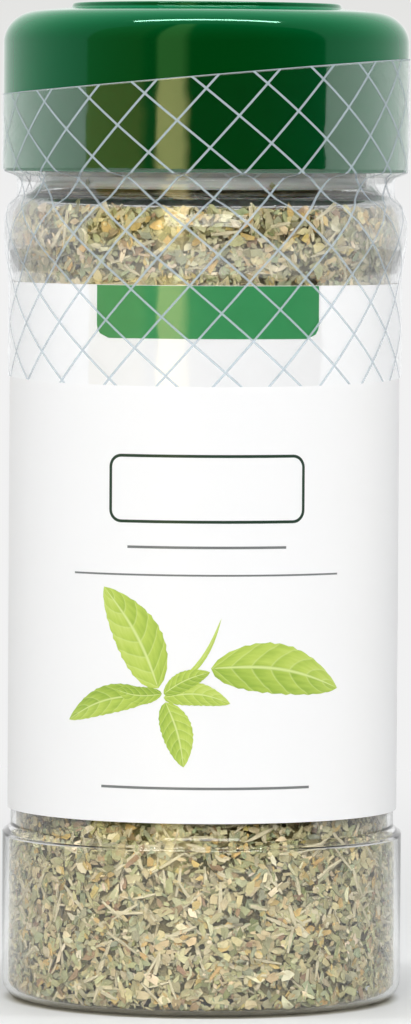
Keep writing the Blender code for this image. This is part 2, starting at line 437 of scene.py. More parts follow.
def leaf_ink():
    """The printed fresh leaf: UV runs from stalk to tip and from edge to edge, tone is light or dark."""
    material, tree, shader = start_material("leaf_ink", Roughness=0.35)
    uv = add_node(tree, "UVMap", uv_map="leaf").outputs["UV"]
    axes = add_node(tree, "SeparateXYZ", {"Vector": uv}).outputs
    tone = add_node(tree, "Attribute", attribute_name="tone").outputs["Fac"]
    across = math_node(tree, "ABSOLUTE", axes["Y"])
    # Side veins leave the midrib slanting to the tip and bend towards it
    bend = math_node(tree, "POWER", across, 1.5)
    phase = math_node(tree, "MULTIPLY_ADD", bend, -1.3, math_node(tree, "MULTIPLY", axes["X"], 7.0))
    wave = math_node(tree, "PINGPONG", phase, 0.5)
    side_vein = add_node(
        tree, "MapRange", {"Value": wave, "From Min": 0.0, "From Max": 0.09, "To Min": 1.0, "To Max": 0.0}
    ).outputs["Result"]
    midrib = add_node(
        tree, "MapRange", {"Value": across, "From Min": 0.02, "From Max": 0.09, "To Min": 1.0, "To Max": 0.0}
    ).outputs["Result"]
    vein = math_node(tree, "MAXIMUM", math_node(tree, "MULTIPLY", side_vein, 0.45), midrib)
    # Between its veins the blade is puckered, so one flank of each pucker is darker
    pucker = math_node(tree, "FRACT", phase)
    mottle = add_node(tree, "TexNoise", {"Vector": uv, "Scale": 6.0, "Detail": 4.0}).outputs["Fac"]
    shade = math_node(tree, "MULTIPLY_ADD", pucker, 0.35, math_node(tree, "MULTIPLY", mottle, 0.7))
    shade = math_node(tree, "MULTIPLY_ADD", tone, 0.55, math_node(tree, "MULTIPLY", shade, 0.6))
    blade = ramp(
        tree,
        shade,
        (0.15, (0.16, 0.27, 0.035)),
        (0.45, (0.30, 0.44, 0.055)),
        (0.7, (0.46, 0.59, 0.10)),
        (1.0, (0.60, 0.70, 0.20)),
    )
    colour = mix_colour(tree, vein, blade, (0.62, 0.72, 0.28, 1))
    tree.links.new(colour, shader.inputs["Base Color"])
    return material


def dried_leaf():
    """Flake colour by each flake's own tint, with the mottle and fine veins of dried leaf."""
    material, tree, shader = start_material("dried_leaf", Roughness=0.75)
    tint = add_node(tree, "Attribute", attribute_name="tint").outputs["Color"]
    patches, height = add_grain(tree, 900.0, 3500.0, 0.7)
    darker = mix_colour(tree, 1.0, tint, (0.62, 0.60, 0.55, 1), "MULTIPLY")
    colour = mix_colour(tree, spread(tree, patches, 1.3, -0.4), tint, darker)
    tree.links.new(colour, shader.inputs["Base Color"])
    add_bump(tree, shader, height, 0.5, 0.08 * MM)
    return material


def packed_leaf():
    """The depth of the fill between the outer flakes, in random cell tones darker than the flakes: painted shade
    in the gaps between them.
    """
    material, tree, shader = start_material("packed_leaf", Roughness=0.9)
    place = add_node(tree, "TexCoord").outputs["Object"]
    cells = add_node(tree, "TexVoronoi", {"Vector": place, "Scale": 800.0}).outputs["Color"]
    level = add_node(tree, "SeparateColor", {"Color": cells}).outputs[0]
    colour = ramp(
        tree,
        level,
        (0.0, (0.09, 0.08, 0.03)),
        (0.5, (0.24, 0.20, 0.09)),
        (1.0, (0.42, 0.36, 0.19)),
    )
    tree.links.new(colour, shader.inputs["Base Color"])
    add_bump(tree, shader, level, 0.8, 0.3 * MM)
    return material


def shrink_film():
    """Clear film that mirrors its surroundings a little, with a lattice of pale ink lines printed on it."""
    material, tree, shader = start_material("printed_shrink_film")
    uv = add_node(tree, "UVMap", uv_map="wrap").outputs["UV"]
    axes = add_node(tree, "SeparateXYZ", {"Vector": uv}).outputs
    lines = None
    for slant in (1.0, -1.0):
        phase = math_node(tree, "MULTIPLY_ADD", axes["Y"], slant, axes["X"])
        distance = math_node(tree, "PINGPONG", phase, 0.5)
        line = add_node(
            tree,
            "MapRange",
            {"Value": distance, "From Min": 0.022, "From Max": 0.031, "To Min": 1.0, "To Max": 0.0},
        ).outputs["Result"]
        lines = line if lines is None else math_node(tree, "MAXIMUM", lines, line)
    # The band's top edge is inked pale like the lattice: a painted highlight along the film's cut edge
    rim = add_node(tree, "Attribute", attribute_name="edge").outputs["Fac"]
    lines = math_node(tree, "MAXIMUM", lines, rim)
    colour = mix_colour(tree, lines, (0.93, 0.95, 0.96, 1), (0.46, 0.54, 0.60, 1))
    tree.links.new(colour, shader.inputs["Base Color"])
    tree.links.new(math_node(tree, "SUBTRACT", 1.0, lines), shader.inputs["Metallic"])
    tree.links.new(spread(tree, lines, 0.07, 0.4), shader.inputs["Roughness"])
    facing = add_node(tree, "LayerWeight", {"Blend": 0.3}).outputs["Facing"]
    mirror = math_node(tree, "MULTIPLY_ADD", math_node(tree, "POWER", facing, 2.0), 0.54, 0.05)
    inked = math_node(tree, "MULTIPLY", lines, 0.52)
    tree.links.new(math_node(tree, "MAXIMUM", mirror, inked), shader.inputs["Alpha"])
    let_lamps_through(tree, shader, (1, 1, 1, 1))
    return material


# ---------------------------------------------------------------- the jar and what closes it


def jar_outside(crisp=True):
    """The outer outline. The inner wall follows it with a softer step, as blown plastic does."""
    ring_inner = RECESS_RADIUS + RECESS_DEPTH
    bend = 0.15 * MM
    high = PANEL_BOTTOM - 0.30 * MM
    low = high - 0.84 * MM
    if crisp:
        step = [
            *arc((FOOT_RADIUS - bend, low), bend, bend, 0, 54, 6),
            *arc((PANEL_RADIUS + bend, high), bend, bend, 234, 180, 6),
        ]
    else:
        step = swell((FOOT_RADIUS, PANEL_BOTTOM - STEP_HEIGHT), (PANEL_RADIUS, PANEL_BOTTOM), 8)
    heel = (FOOT_RADIUS - HEEL_ROUND, HEEL_ROUND)
    return [
        (0.0, RECESS_DEPTH + RECESS_DOME),
        (0.4 * RECESS_RADIUS, RECESS_DEPTH + RECESS_DOME),
        (0.8 * RECESS_RADIUS, RECESS_DEPTH + 0.4 * RECESS_DOME),
        *arc((RECESS_RADIUS - MM, RECESS_DEPTH - MM), MM, MM, 80, 45, 3),
        *arc((ring_inner + 0.4 * MM, 0.4 * MM), 0.4 * MM, 0.4 * MM, 225, 270, 3),
        *arc(heel, HEEL_ROUND, HEEL_ROUND, -90, 0, 10),
        *step,
        *swell((PANEL_RADIUS, PANEL_TOP), (BEAD_RADIUS, BEAD_BOTTOM), 10),
        *arc((SHOULDER_CENTRE, BEAD_TOP), BEAD_RADIUS - SHOULDER_CENTRE, SHOULDER_TOP - BEAD_TOP, 0, 84, 14),
        *arc((NECK_RADIUS + NECK_FILLET, NECK_BOTTOM), NECK_FILLET, NECK_BOTTOM - SHOULDER_TOP, 262, 180, 8),
    ]


def jar_inside(margin=0.0):
    """The inner wall, from the middle of the floor to the neck, moved in by a margin."""
    inside = inset(jar_outside(crisp=False), WALL + margin)
    return [(max(radius, 0.0), height) for radius, height in inside]


def make_jar():
    bore = NECK_RADIUS - WALL
    edge = 0.35 * MM
    rim = [
        *arc((NECK_RADIUS - edge, RIM_TOP - edge), edge, edge, 0, 90, 4),
        *arc((bore + edge, RIM_TOP - edge), edge, edge, 90, 180, 4),
    ]
    jar = turned("clear_jar", jar_outside() + rim + jar_inside()[::-1])
    boolean(jar, thread_ridge("jar_ridge", NECK_RADIUS, JAR_CREST, JAR_THREAD_BOTTOM), "UNION")
    smooth(jar, 40)
    return finish_piece(jar, clear_pet(), "jar", "clear_pet", "jar")


def make_cap():
    edge = 0.3 * MM
    disc = DISC_RADIUS
    outline = [
        (0.0, CAP_INSIDE_TOP),
        (CAP_INSIDE - 3 * edge, CAP_INSIDE_TOP),
        *arc((CAP_INSIDE - 3 * edge, CAP_INSIDE_TOP - 3 * edge), 3 * edge, 3 * edge, 75, 0, 5),
        (CAP_INSIDE, CAP_BOTTOM + 2 * edge),
        (CAP_INSIDE + 1.5 * edge, CAP_BOTTOM),
        (CAP_RADIUS - edge, CAP_BOTTOM),
        *arc((CAP_RADIUS - edge, CAP_BOTTOM + edge), edge, edge, -70, 0, 4),
        *arc(CAP_ROUND_CENTRE, CAP_RADIUS - CAP_ROUND_CENTRE[0], CAP_ROUND_HEIGHT, 0, 86, 22),
        (17.0 * MM, 108.98 * MM),
        (disc + edge, 109.13 * MM),
        *arc((disc + edge, 109.13 * MM + edge), edge, edge, 255, 180, 3),
        *arc((disc - edge, CAP_TOP - edge), edge, edge, 10, 90, 5),
        (0.6 * disc, CAP_TOP),
        (1.4 * MM, CAP_TOP),
        (1.1 * MM, CAP_TOP - 0.12 * MM),
        (0.0, CAP_TOP - 0.12 * MM),
    ]
    cap = turned("screw_cap", outline)
    boolean(cap, thread_ridge("cap_ridge", CAP_INSIDE, CAP_CREST, CAP_THREAD_BOTTOM), "UNION")
    smooth(cap, 40)
    return finish_piece(cap, green_gloss(), "cap", "green_gloss", "cap")


def make_liner():
    edge = 0.15 * MM
    outline = [
        (0.0, LINER_BOTTOM),
        *arc((LINER_RADIUS - edge, LINER_BOTTOM + edge), edge, edge, -90, 0, 3),
        *arc((LINER_RADIUS - edge, LINER_TOP - edge), edge, edge, 0, 90, 3),
        (0.0, LINER_TOP),
    ]
    liner = turned("foam_liner", outline, 96)
    return finish_piece(liner, liner_foam(), "liner", "liner_foam", "cap_liner")


def make_sifter():
    flange = FLANGE_RADIUS
    flange_bottom = FLANGE_TOP - 0.6 * MM
    plug = 17.7 * MM
    inner = plug - PLUG_WALL
    plate = flange_bottom - 0.9 * MM
    edge = 0.2 * MM
    outline = [
        (0.0, plate),
        (inner - edge, plate),
        (inner, plate - edge),
        (inner, PLUG_BOTTOM + edge),
        (inner + edge, PLUG_BOTTOM),
        (plug - 2 * edge, PLUG_BOTTOM),
        (plug, PLUG_BOTTOM + 2 * edge),
        (plug, flange_bottom),
        (flange - edge, flange_bottom),
        (flange, flange_bottom + edge),
        (flange, FLANGE_TOP - edge),
        (flange - edge, FLANGE_TOP),
        (plug - edge, FLANGE_TOP),
        (inner, flange_bottom),
        (0.0, flange_bottom),
    ]
    sifter = turned("sifter_plug", outline, 96)
    for i in range(7):
        reach = HOLE_CIRCLE if i else 0.0
        angle = math.tau * i / 6
        deselect()
        bpy.ops.mesh.primitive_cylinder_add(
            vertices=40,
            radius=HOLE_RADIUS,
            depth=4 * MM,
            location=(reach * math.cos(angle), reach * math.sin(angle), plate),
        )
        hole = bpy.context.object
        hole.name = f"sifter_cutter_{i}"
        settle(hole)
        boolean(sifter, hole, "DIFFERENCE")
    smooth(sifter, 30)
    return finish_piece(sifter, natural_white(), "jar", "natural_white", "sifter")


# ---------------------------------------------------------------- the label and its print

PAPER = 0.09 * MM
INK = 0.012 * MM
LABEL_LAP = 7.0 * MM  # how far the label's end laps over its start, at the back
PRINT_TURN = 0.4 * MM  # the print sits this far round to +X of the front


def roll(piece, radius):
    """Rolls a sheet that lies flat in X and Z, with its face towards -Y, round the jar."""
    for vertex in piece.data.vertices:
        across, depth, height = vertex.co
        angle = across / radius
        x, y = polar(angle, radius - depth)
        vertex.co = (x, y, height)


def make_label():
    around = math.tau * LABEL_RADIUS + LABEL_LAP
    inner = LABEL_RADIUS - PAPER
    deselect()
    bpy.ops.mesh.primitive_grid_add(
        x_subdivisions=220,
        y_subdivisions=6,
        size=1.0,
        location=(LABEL_LAP / 2, 0, (LABEL_BOTTOM + LABEL_TOP) / 2),
        rotation=(math.radians(90), 0, 0),
    )
    label = bpy.context.object
    label.name = "paper_label"
    label.scale = (around, LABEL_TOP - LABEL_BOTTOM, 1.0)
    settle(label)
    solid = label.modifiers.new("paper", "SOLIDIFY")
    solid.thickness = PAPER
    solid.offset = -1.0
    apply_modifiers(label)
    lap_start = math.tau * inner / 2 - 1.0 * MM
    for vertex in label.data.vertices:
        over = (vertex.co.x - lap_start) / (2.0 * MM)
        lift = 1.1 * PAPER * min(max(over, 0.0), 1.0)
        vertex.co.y -= lift
    roll(label, LABEL_RADIUS)
    smooth(label, 50)
    return finish_piece(label, label_paper(), "jar", "white_paper", "label")


def print_sheet(name, width, height, centre, columns, rows):
    """A flat grid for a printed shape, in X and Z, standing just proud of the paper."""
    deselect()
    bpy.ops.mesh.primitive_grid_add(
        x_subdivisions=columns,
        y_subdivisions=rows,
        size=1.0,
        location=(centre[0] + PRINT_TURN, 0.0, centre[1]),
        rotation=(math.radians(90), 0, 0),
    )
    sheet = bpy.context.object
    sheet.name = name
    sheet.scale = (width, height, 1.0)
    settle(sheet)
    return sheet


def ink_down(sheet, material):
    """Gives a flat printed shape its ink's thickness and rolls it onto the label."""
    solid = sheet.modifiers.new("ink", "SOLIDIFY")
    solid.thickness = 2 * INK
    solid.offset = 0.0
    apply_modifiers(sheet)
    roll(sheet, LABEL_RADIUS)
    smooth(sheet, 60)
    return finish_piece(sheet, material, "jar", "white_paper")


def make_header_tab():
    width, height, corner = 25.4 * MM, 5.7 * MM, 1.5 * MM
    top = LABEL_TOP - 0.05 * MM
    tab = print_sheet("header_tab", width, height, (0.0, top - height / 2), 60, 12)
    middle = PRINT_TURN
    floor = top - height
    for vertex in tab.data.vertices:
        x, _, z = vertex.co
        rise = z - floor
        if rise < corner:
            pull = corner - math.sqrt(max(corner**2 - (corner - rise) ** 2, 0.0))
            share = 1 - pull / (width / 2)
            vertex.co.x = middle + (x - middle) * share
    return ink_down(tab, flat_ink("green_ink", (0.034, 0.25, 0.085)))


def make_rule(name, length, thickness, height, material):
    rule = print_sheet(name, length, thickness, (0.0, height), max(4, round(length / MM)), 1)
    return ink_down(rule, material)


def make_name_frame(material):
    """An empty frame with rounded corners, where a name could be written."""
    width, height, corner, line = 22.0 * MM, 7.4 * MM, 1.4 * MM, 0.32 * MM
    centre = (PRINT_TURN, 57.2 * MM)
    shape = bmesh.new()
    loops = []
    for inwards in (0.0, line):
        half_wide, half_high, bend = width / 2 - inwards, height / 2 - inwards, corner - inwards
        loop = []
        for quarter, (side, end) in enumerate(((1, 1), (-1, 1), (-1, -1), (1, -1))):
            hub = (centre[0] + side * (half_wide - bend), centre[1] + end * (half_high - bend))
            for step in range(9):
                angle = math.tau * (quarter + step / 8) / 4
                loop.append((hub[0] + bend * math.cos(angle), hub[1] + bend * math.sin(angle)))
        loops.append(loop)
    # The long runs get extra points, so that they stay round when the frame is rolled
    full = []
    for loop in loops:
        points = []
        for i, (x, z) in enumerate(loop):
            following = loop[(i + 1) % len(loop)]
            cuts = max(1, round(abs(following[0] - x) / (0.8 * MM)))
            for k in range(cuts):
                points.append((x + (following[0] - x) * k / cuts, z + (following[1] - z) * k / cuts))
        full.append([shape.verts.new((x, 0.0, z)) for x, z in points])
    outer, inner = full
    count = min(len(outer), len(inner))
    for i in range(count):
        j = (i + 1) % count
        shape.faces.new((outer[i], outer[j], inner[j], inner[i]))
    deselect()
    bpy.ops.mesh.primitive_plane_add(size=MM)
    piece = bpy.context.object
    piece.name = "name_frame"
    bmesh.ops.recalc_face_normals(shape, faces=shape.faces)
    shape.to_mesh(piece.data)
    shape.free()
    return ink_down(piece, material)


def leaf_print(name, base, tip, width, bend, tone, material):
    """One printed leaf from base to tip, both (across, height) on the flat label."""
    along, across = 28, 10
    length = math.dist(base, tip)
    forward = ((tip[0] - base[0]) / length, (tip[1] - base[1]) / length)
    square = (-forward[1], forward[0])
    leaf = print_sheet(name, 1.0, 1.0, (0.0, 0.0), along, across)
    mesh = leaf.data
    shares = [(v.co.x - PRINT_TURN + 0.5, 2 * v.co.z) for v in mesh.vertices]
    uv = mesh.uv_layers[0]
    uv.name = "leaf"
    for loop in mesh.loops:
        uv.data[loop.index].uv = shares[loop.vertex_index]
    tones = mesh.attributes.new("tone", "FLOAT", "POINT")
    for vertex, (u, v) in zip(mesh.vertices, shares):
        teeth = 1 + 0.035 * math.sin(math.tau * 11 * u) * abs(v)
        half = width / 2 * 1.965 * max(u, 0.0) ** 0.62 * max(1 - u, 0.0) ** 0.82 * teeth
        side = v * half + bend * math.sin(math.pi * u) * length
        vertex.co = (
            PRINT_TURN + base[0] + forward[0] * u * length + square[0] * side,
            0.0,
            base[1] + forward[1] * u * length + square[1] * side,
        )
        tones.data[vertex.index].value = tone + (0.16 if v > 0 else -0.1) + 0.12 * (u - 0.5)
    return ink_down(leaf, material)


def make_sprig():
    """A plain sprig of fresh leaves: two large, some smaller, and a stalk."""
    ink = leaf_ink()
    lift = 0.0
    leaves = [
        # name, base, tip, width, bend, tone, all but bend and tone in millimetres
        ("leaf_right", (0.5, 37.6), (15.6, 35.2), 7.4, 0.07, 0.50),
        ("leaf_upper", (-5.2, 35.4), (-11.6, 46.2), 7.2, -0.06, 0.62),
        ("leaf_left", (-6.0, 34.6), (-16.2, 31.6), 4.2, -0.08, 0.42),
        ("leaf_lower", (-4.4, 33.9), (-2.4, 26.9), 4.6, 0.05, 0.50),
        ("leaf_crown_left", (-4.8, 34.8), (-10.2, 35.2), 2.6, 0.08, 0.30),
        ("leaf_crown_right", (-4.6, 34.4), (2.6, 33.8), 3.4, 0.10, 0.66),
        ("leaf_crown_top", (-4.6, 34.8), (0.4, 37.2), 2.8, 0.06, 0.36),
    ]
    # Each next leaf lies over the last, so each is inked a little higher
    for name, base, tip, width, bend, tone in leaves:
        leaf = leaf_print(
            name,
            (base[0] * MM, (base[1] + 0.3) * MM),
            (tip[0] * MM, (tip[1] + 0.3) * MM),
            width * MM,
            bend,
            tone,
            ink,
        )
        lift += 0.5 * INK
        for vertex in leaf.data.vertices:
            spot = Vector((vertex.co.x, vertex.co.y, 0)).normalized() * lift
            vertex.co += spot
    leaf_print("leaf_stalk", (-4.4 * MM, 35.2 * MM), (1.6 * MM, 43.3 * MM), 0.75 * MM, -0.10, 0.75, ink)


# ---------------------------------------------------------------- the shrink band

LATTICE_ROUND = 21  # diamonds of the printed lattice in one turn
LATTICE_HIGH = 6.4 * MM  # from one crossing to the next, up the film
LATTICE_LEAN = 0.07  # how far the crossings drift round for each one down, in diamonds
LATTICE_START = 100.25 * MM  # height of one crossing at the front
LATTICE_TILT = (1.3 * MM, 1.95 * MM)  # how crooked its rows sit, at the bottom and at the top
FILM = 0.05 * MM
SLACK = (
    # radius and height in millimetres
    (21.75, 87.48),
    (21.56, 87.72),
    (21.33, 87.96),
    (21.10, 88.20),
    (20.94, 88.42),
    (20.84, 88.68),
    (20.78, 89.1),
)
BAND_TOP = 101.7 * MM
BAND_TOP_TILT = 2.05 * MM
BAND_BOTTOM = 68.8 * MM
BAND_BOTTOM_TILT = 0.6 * MM


def lattice_uv(band, course):
    """A UV map in diamonds of the lattice, which stretches along the film and sits a little crooked on it."""
    heights = [height for _, height in course]
    ways = [0.0]
    for near, far in zip(course, course[1:]):
        ways.append(ways[-1] + math.dist(near, far))
    start = np.interp(LATTICE_START, heights, ways)
    layer = band.data.uv_layers.new(name="wrap")
    vertices = band.data.vertices
    for face in band.data.polygons:
        middle = math.atan2(face.center.x, -face.center.y)
        for index in face.loop_indices:
            x, y, z = vertices[band.data.loops[index].vertex_index].co
            angle = middle + math.remainder(math.atan2(x, -y) - middle, math.tau)
            way = np.interp(z, heights, ways) + max(z - heights[-1], 0.0) + min(z - heights[0], 0.0)
            tilt = np.interp(way, (0.0, ways[-1]), LATTICE_TILT)
            rise = (way - start - tilt * math.sin(angle)) / LATTICE_HIGH
            layer.data[index].uv = (LATTICE_ROUND * angle / math.tau + LATTICE_LEAN * rise, rise)


def make_band():
    over_label = LABEL_RADIUS + 0.16 * MM
    over_bead = BEAD_RADIUS + 0.08 * MM
    over_cap = CAP_RADIUS + 0.07 * MM
    waist = 20.75 * MM
    rows = 40
    low_rows = [(over_label, BAND_BOTTOM + (LABEL_TOP - BAND_BOTTOM) * i / 14) for i in range(14)]
    course = [
        *low_rows,
        *swell((over_label, LABEL_TOP), (over_bead, BEAD_BOTTOM - 0.2 * MM), 10),
        *swell((over_bead, BEAD_TOP + 0.9 * MM), (21.85 * MM, 87.2 * MM), 6),
        # A slack slope off the shoulder, which catches the light from above
        *[(radius * MM, height * MM) for radius, height in SLACK],
        (waist, 89.7 * MM),
        (waist + 0.04 * MM, 90.2 * MM),
        (waist + 0.2 * MM, 90.65 * MM),
        (waist + 0.85 * MM, 90.92 * MM),
        (over_cap - 0.15 * MM, 91.16 * MM),
        (over_cap, 91.5 * MM),
    ]
    start = course[-1][1]
    course += [(over_cap, start + (BAND_TOP - start) * (i + 1) / rows) for i in range(rows)]
    outline = course + [(radius + FILM, height) for radius, height in course[::-1]]
    band = turned("shrink_film", outline, 240, ring=True)
    flat_heights = [vertex.co.z for vertex in band.data.vertices]
    for vertex in band.data.vertices:
        x, y, z = vertex.co
        angle = math.atan2(x, -y)
        # The band's ends are crooked: its rows fan out towards them
        up = max(0.0, (z - start) / (BAND_TOP - start))
        down = max(0.0, (LABEL_TOP - z) / (LABEL_TOP - BAND_BOTTOM))
        shift = up * BAND_TOP_TILT * math.sin(angle) - down * BAND_BOTTOM_TILT * math.cos(angle)
        spot = Vector((x, y, z + shift)) / MM
        ripple = noise.noise(spot * 0.28) + 0.5 * noise.noise(spot * 0.7)
        swing = 1 + 0.022 * MM * ripple / math.hypot(x, y)
        vertex.co = (x * swing, y * swing, z + shift)
    lattice_uv(band, course)
    # Marks the band's top edge, which the film's material inks pale as a painted highlight
    edges = band.data.attributes.new("edge", "FLOAT", "POINT")
    for vertex, height in zip(band.data.vertices, flat_heights):
        edges.data[vertex.index].value = 1.0 if height > BAND_TOP - 0.01 * MM else 0.0
    smooth(band, 60)
    return finish_piece(band, shrink_film(), "jar", "clear_film", "shrink_band")


# ---------------------------------------------------------------- the dried leaf

TINTS = (
    # share, colour
    (0.26, (0.40, 0.37, 0.20)),  # olive
    (0.22, (0.50, 0.45, 0.27)),  # khaki
    (0.12, (0.34, 0.35, 0.22)),  # grey green
    (0.13, (0.60, 0.50, 0.28)),  # tan
    (0.09, (0.56, 0.40, 0.15)),  # golden brown
    (0.06, (0.22, 0.22, 0.09)),  # dark green
    (0.05, (0.34, 0.23, 0.13)),  # brown
    (0.07, (0.74, 0.65, 0.45)),  # pale straw
)


def pick_tint(chance):
    pull = chance.random() * sum(share for share, _ in TINTS)
    for share, colour in TINTS:
        pull -= share
        if pull <= 0:
            break
    bright = chance.uniform(0.86, 1.24)
    return [min(1.0, value * bright * chance.uniform(0.93, 1.07)) for value in colour]


def make_flake(name, corners, chance, stem=False):
    """A crumb of dried leaf about 1 mm across, as a thin closed plate with a torn outline and a curl."""
    deselect()
    bpy.ops.mesh.primitive_circle_add(vertices=corners, radius=0.5 * MM, fill_type="TRIFAN")
    flake = bpy.context.object
    flake.name = name
    curl = chance.uniform(0.1, 0.35)
    for vertex in flake.data.vertices:
        x, y, _ = vertex.co
        pull = 1.0 if stem else chance.uniform(0.42, 1.15)
        x, y = x * pull, y * pull
        if stem:
            y *= 0.12
        lift = curl * (x * x) / MM + chance.uniform(-0.04, 0.04) * MM
        vertex.co = (x, y, lift)
    solid = flake.modifiers.new("leaf", "SOLIDIFY")
    solid.thickness = 0.09 * MM if not stem else 0.12 * MM
    solid.offset = 0.0
    apply_modifiers(flake)
    points = np.array([v.co[:] for v in flake.data.vertices])
    faces = [tuple(p.vertices) for p in flake.data.polygons]
    bpy.data.objects.remove(flake)
    return points, faces


def scatter(name, flakes, places, chance):
    """Copies of the flakes at (centre, frame, size) places, as one mesh with a tint on every copy."""
    points, faces, tints = [], [], []
    for centre, turn, size, kind in places:
        shape, corners = flakes[kind]
        start = len(points)
        for corner in shape:
            stretched = Vector((corner[0] * size[0], corner[1] * size[1], corner[2] * size[2]))
            points.append(centre + turn @ stretched)
        faces += [tuple(start + index for index in face) for face in corners]
        tint = pick_tint(chance) if kind < len(flakes) - 1 else (0.62, 0.55, 0.38)
        tints += [(*tint, 1.0)] * len(shape)
    deselect()
    bpy.ops.mesh.primitive_plane_add(size=MM)
    piece = bpy.context.object
    piece.name = name
    piece.data.clear_geometry()
    piece.data.from_pydata(points, [], faces)
    colours = piece.data.color_attributes.new("tint", "FLOAT_COLOR", "POINT")
    colours.data.foreach_set("color", np.array(tints, dtype=np.float32).ravel())
    piece.data.validate()
    return piece


def wall_radius_at(outline, height):
    """The widest radius that the outline has at a height."""
    best = 0.0
    for (r0, z0), (r1, z1) in zip(outline, outline[1:]):
        if z0 != z1 and min(z0, z1) <= height <= max(z0, z1):
            best = max(best, r0 + (r1 - r0) * (height - z0) / (z1 - z0))
    return best


def flake_size(chance):
    long = chance.uniform(0.8, 2.3) if chance.random() < 0.7 else chance.uniform(0.4, 1.0)
    wide = long * chance.uniform(0.28, 0.75)
    return long, wide, chance.uniform(0.7, 1.3)


def lying_on_wall(angle, height, radius, chance, tilt):
    """A flake's frame: flat against the wall, turned at random, and tilted out of it a little."""
    x, y = polar(angle, radius)
    outwards = Vector((x, y, 0)).normalized()
    up = Vector((0, 0, 1))
    side = up.cross(outwards)
    base = Matrix((side, up, outwards)).transposed()
    lean = Euler((chance.gauss(0, tilt), chance.gauss(0, tilt), chance.uniform(0, math.tau)))
    return Vector((x, y, height)), base @ lean.to_matrix()


# How deep each layer of flakes lies in millimetres, its share of the flakes, and how far they tilt
WALL_LAYERS = ((0.05, 1.2, 0.10), (0.3, 1.0, 0.2), (0.75, 0.7, 0.35))


FOOT_MIDDLE = 12.0 * MM  # where one piece of wall flakes gives way to the next


def wall_flakes(low, high, density, chance, kinds):
    """Places for flakes in layers against the inner wall, between two heights."""
    inside = jar_inside(0.06 * MM)
    places = []
    for depth, share, tilt in WALL_LAYERS:
        count = round(math.tau * 20.5 * (high - low) / MM * density * share)
        for _ in range(count):
            height = chance.uniform(low, high)
            long, wide, thick = flake_size(chance)
            kind = chance.randrange(kinds - 1)
            if chance.random() < 0.045:
                kind = kinds - 1
                long, wide, thick = chance.uniform(2.0, 5.0), chance.uniform(2.0, 4.0), 2.0
            room = wall_radius_at(inside, height)
            reach = 0.5 * long * MM * math.sin(tilt) * 0.5
            radius = room - (depth + chance.uniform(0, 0.25)) * MM - reach
            angle = chance.uniform(-math.pi, math.pi)
            centre, turn = lying_on_wall(angle, height, radius, chance, tilt)
            places.append((centre, turn, (long, wide, thick), kind))
    return places


def keep_inside(piece, margin=0.05 * MM):
    """Draws in any corner of a flake that would pass through the jar's inner wall."""
    inside = jar_inside(margin)
    floor = inside[0][1]
    ring_floor = WALL + margin
    lookup_low, lookup_high, count = ring_floor, NECK_BOTTOM + 5 * MM, 800
    table = []
    for i in range(count + 1):
        height = lookup_low + (lookup_high - lookup_low) * i / count
        table.append(wall_radius_at(inside, height) or NECK_RADIUS - WALL - margin)
    for vertex in piece.data.vertices:
        x, y, z = vertex.co
        z = max(z, ring_floor + 0.05 * MM if math.hypot(x, y) > 18.2 * MM else floor + 0.05 * MM)
        share = min(max((z - lookup_low) / (lookup_high - lookup_low), 0.0), 1.0)
        room = table[round(share * count)]
        radius = math.hypot(x, y)
        if radius > room:
            x, y = x * room / radius, y * room / radius
        vertex.co = (x, y, z)


def make_fill():
    chance = random.Random(21)
    flakes = [make_flake(f"flake_{i}", 5 + i % 3, chance) for i in range(9)]
    flakes.append(make_flake("stem_bit", 6, chance, stem=True))
    kinds = len(flakes)
    material = dried_leaf()
    density = 1.5
    low = wall_flakes(0.75 * MM, FOOT_MIDDLE, density, chance, kinds)
    middle = wall_flakes(FOOT_MIDDLE, LABEL_BOTTOM + 3 * MM, density, chance, kinds)
    high = wall_flakes(LABEL_TOP - 3 * MM, FILL_TOP - 0.3 * MM, density, chance, kinds)
    # The level surface, rough and slightly heaped
    top = []
    reach = wall_radius_at(jar_inside(), FILL_TOP) - 1.0 * MM
    for _ in range(1500):
        radius = reach * math.sqrt(chance.random())
        angle = chance.uniform(-math.pi, math.pi)
        x, y = polar(angle, radius)
        height = FILL_TOP - chance.uniform(0.15, 1.1) * MM
        turn = Euler((chance.gauss(0, 0.35), chance.gauss(0, 0.35), chance.uniform(0, math.tau))).to_matrix()
        top.append((Vector((x, y, height)), turn, flake_size(chance), chance.randrange(kinds - 1)))
    # Single crumbs that cling inside the neck
    for _ in range(16):
        height = chance.uniform(FILL_TOP + 0.4 * MM, NECK_BOTTOM + 2.5 * MM)
        room = wall_radius_at(jar_inside(0.15 * MM), height) or NECK_RADIUS - WALL
        centre, turn = lying_on_wall(chance.uniform(-math.pi, math.pi), height, room, chance, 0.1)
        size = (chance.uniform(0.6, 1.4), chance.uniform(0.5, 1.0), 0.6)
        top.append((centre, turn, size, chance.randrange(kinds - 1)))
    pieces = []
    for name, places in (
        ("leaf_flakes_foot", low),
        ("leaf_flakes_under_label", middle),
        ("leaf_flakes_shoulder", high),
        ("leaf_flakes_top", top),
    ):
        piece = scatter(name, flakes, places, chance)
        keep_inside(piece)
        pieces.append(finish_piece(piece, material, "jar", "dried_leaf", "basil_leaf_fill"))
    # The bulk of the fill, just behind the flakes
    inside = jar_inside(1.6 * MM)
    under = [(radius, height) for radius, height in inside if height < FILL_TOP - 1.2 * MM]
    rim = wall_radius_at(inside, FILL_TOP - 1.2 * MM)
    core = turned("leaf_bulk", [*under, (rim, FILL_TOP - 1.2 * MM), (0.0, FILL_TOP - 0.9 * MM)], 96)
    finish_piece(core, packed_leaf(), "jar", "dried_leaf")
    return pieces


# ---------------------------------------------------------------- the studio


